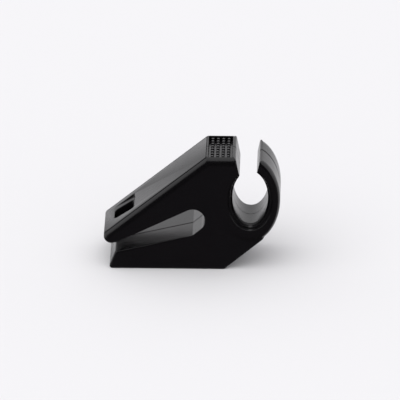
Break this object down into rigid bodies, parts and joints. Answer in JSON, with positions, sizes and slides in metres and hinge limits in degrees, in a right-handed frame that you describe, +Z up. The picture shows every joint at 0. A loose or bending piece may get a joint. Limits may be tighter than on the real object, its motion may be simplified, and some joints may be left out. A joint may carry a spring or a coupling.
{
  "type": "rail clip line cleat",
  "caption": "Black moulded clip: a C-shaped hook snaps over a rail, a tapered slot jams a line, and a line hole sits at the nose of its sloped top.",
  "frame": {"origin": "on the base plane, under the middle of the overall length and depth", "axes": "+X along the length, from the nose towards the rail hook; +Y through the depth, from the front face to the rear face; +Z up"},
  "size_m": [0.1079, 0.0388, 0.0739],
  "materials": {
    "shell_plastic": "satin black moulded nylon",
    "cover_plastic": "satin black moulded nylon",
    "pad_plastic": "fine matt black, moulded pips",
    "screw_steel": "plain stainless"
  },
  "bodies": {
    "root": {"front_shell": "shell_plastic", "rear_shell": "shell_plastic", "slope_cover": "cover_plastic", "thumb_pad": "pad_plastic", "shell_screw_1": "screw_steel", "shell_screw_2": "screw_steel", "shell_screw_3": "screw_steel", "shell_screw_4": "screw_steel", "shell_screw_5": "screw_steel"}
  },
  "joints": []
}
